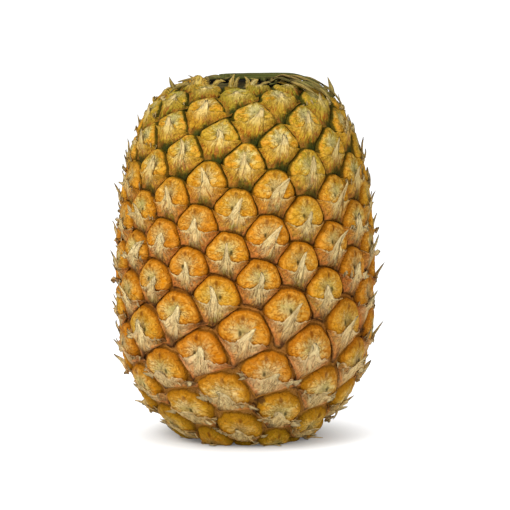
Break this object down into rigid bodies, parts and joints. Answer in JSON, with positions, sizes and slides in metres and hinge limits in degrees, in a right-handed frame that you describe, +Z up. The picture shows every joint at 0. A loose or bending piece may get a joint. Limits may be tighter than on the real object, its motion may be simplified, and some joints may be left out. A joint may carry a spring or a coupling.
{
  "type": "pineapple",
  "caption": "Ripe whole pineapple standing upright, its rind of plump eyes with pointed bracts, its crown cut off level with the shoulder",
  "frame": {"origin": "on the surface it stands on, under the middle of its bounding box", "axes": "+Z up along the fruit from the stalk to the crown, -Y towards the front view, +X to the right in that view"},
  "size_m": [0.1348, 0.1342, 0.1826],
  "materials": {
    "rind": "waxy semi-matt rind, golden orange eyes with cream bracts and brown seams",
    "leaf": "satin dark green leaf bases with dried brown edges",
    "stalk": "matt, fibrous cut end"
  },
  "bodies": {
    "root": {"fruit": "rind", "crown_leaf_bases": "leaf", "stalk": "stalk"}
  },
  "joints": []
}
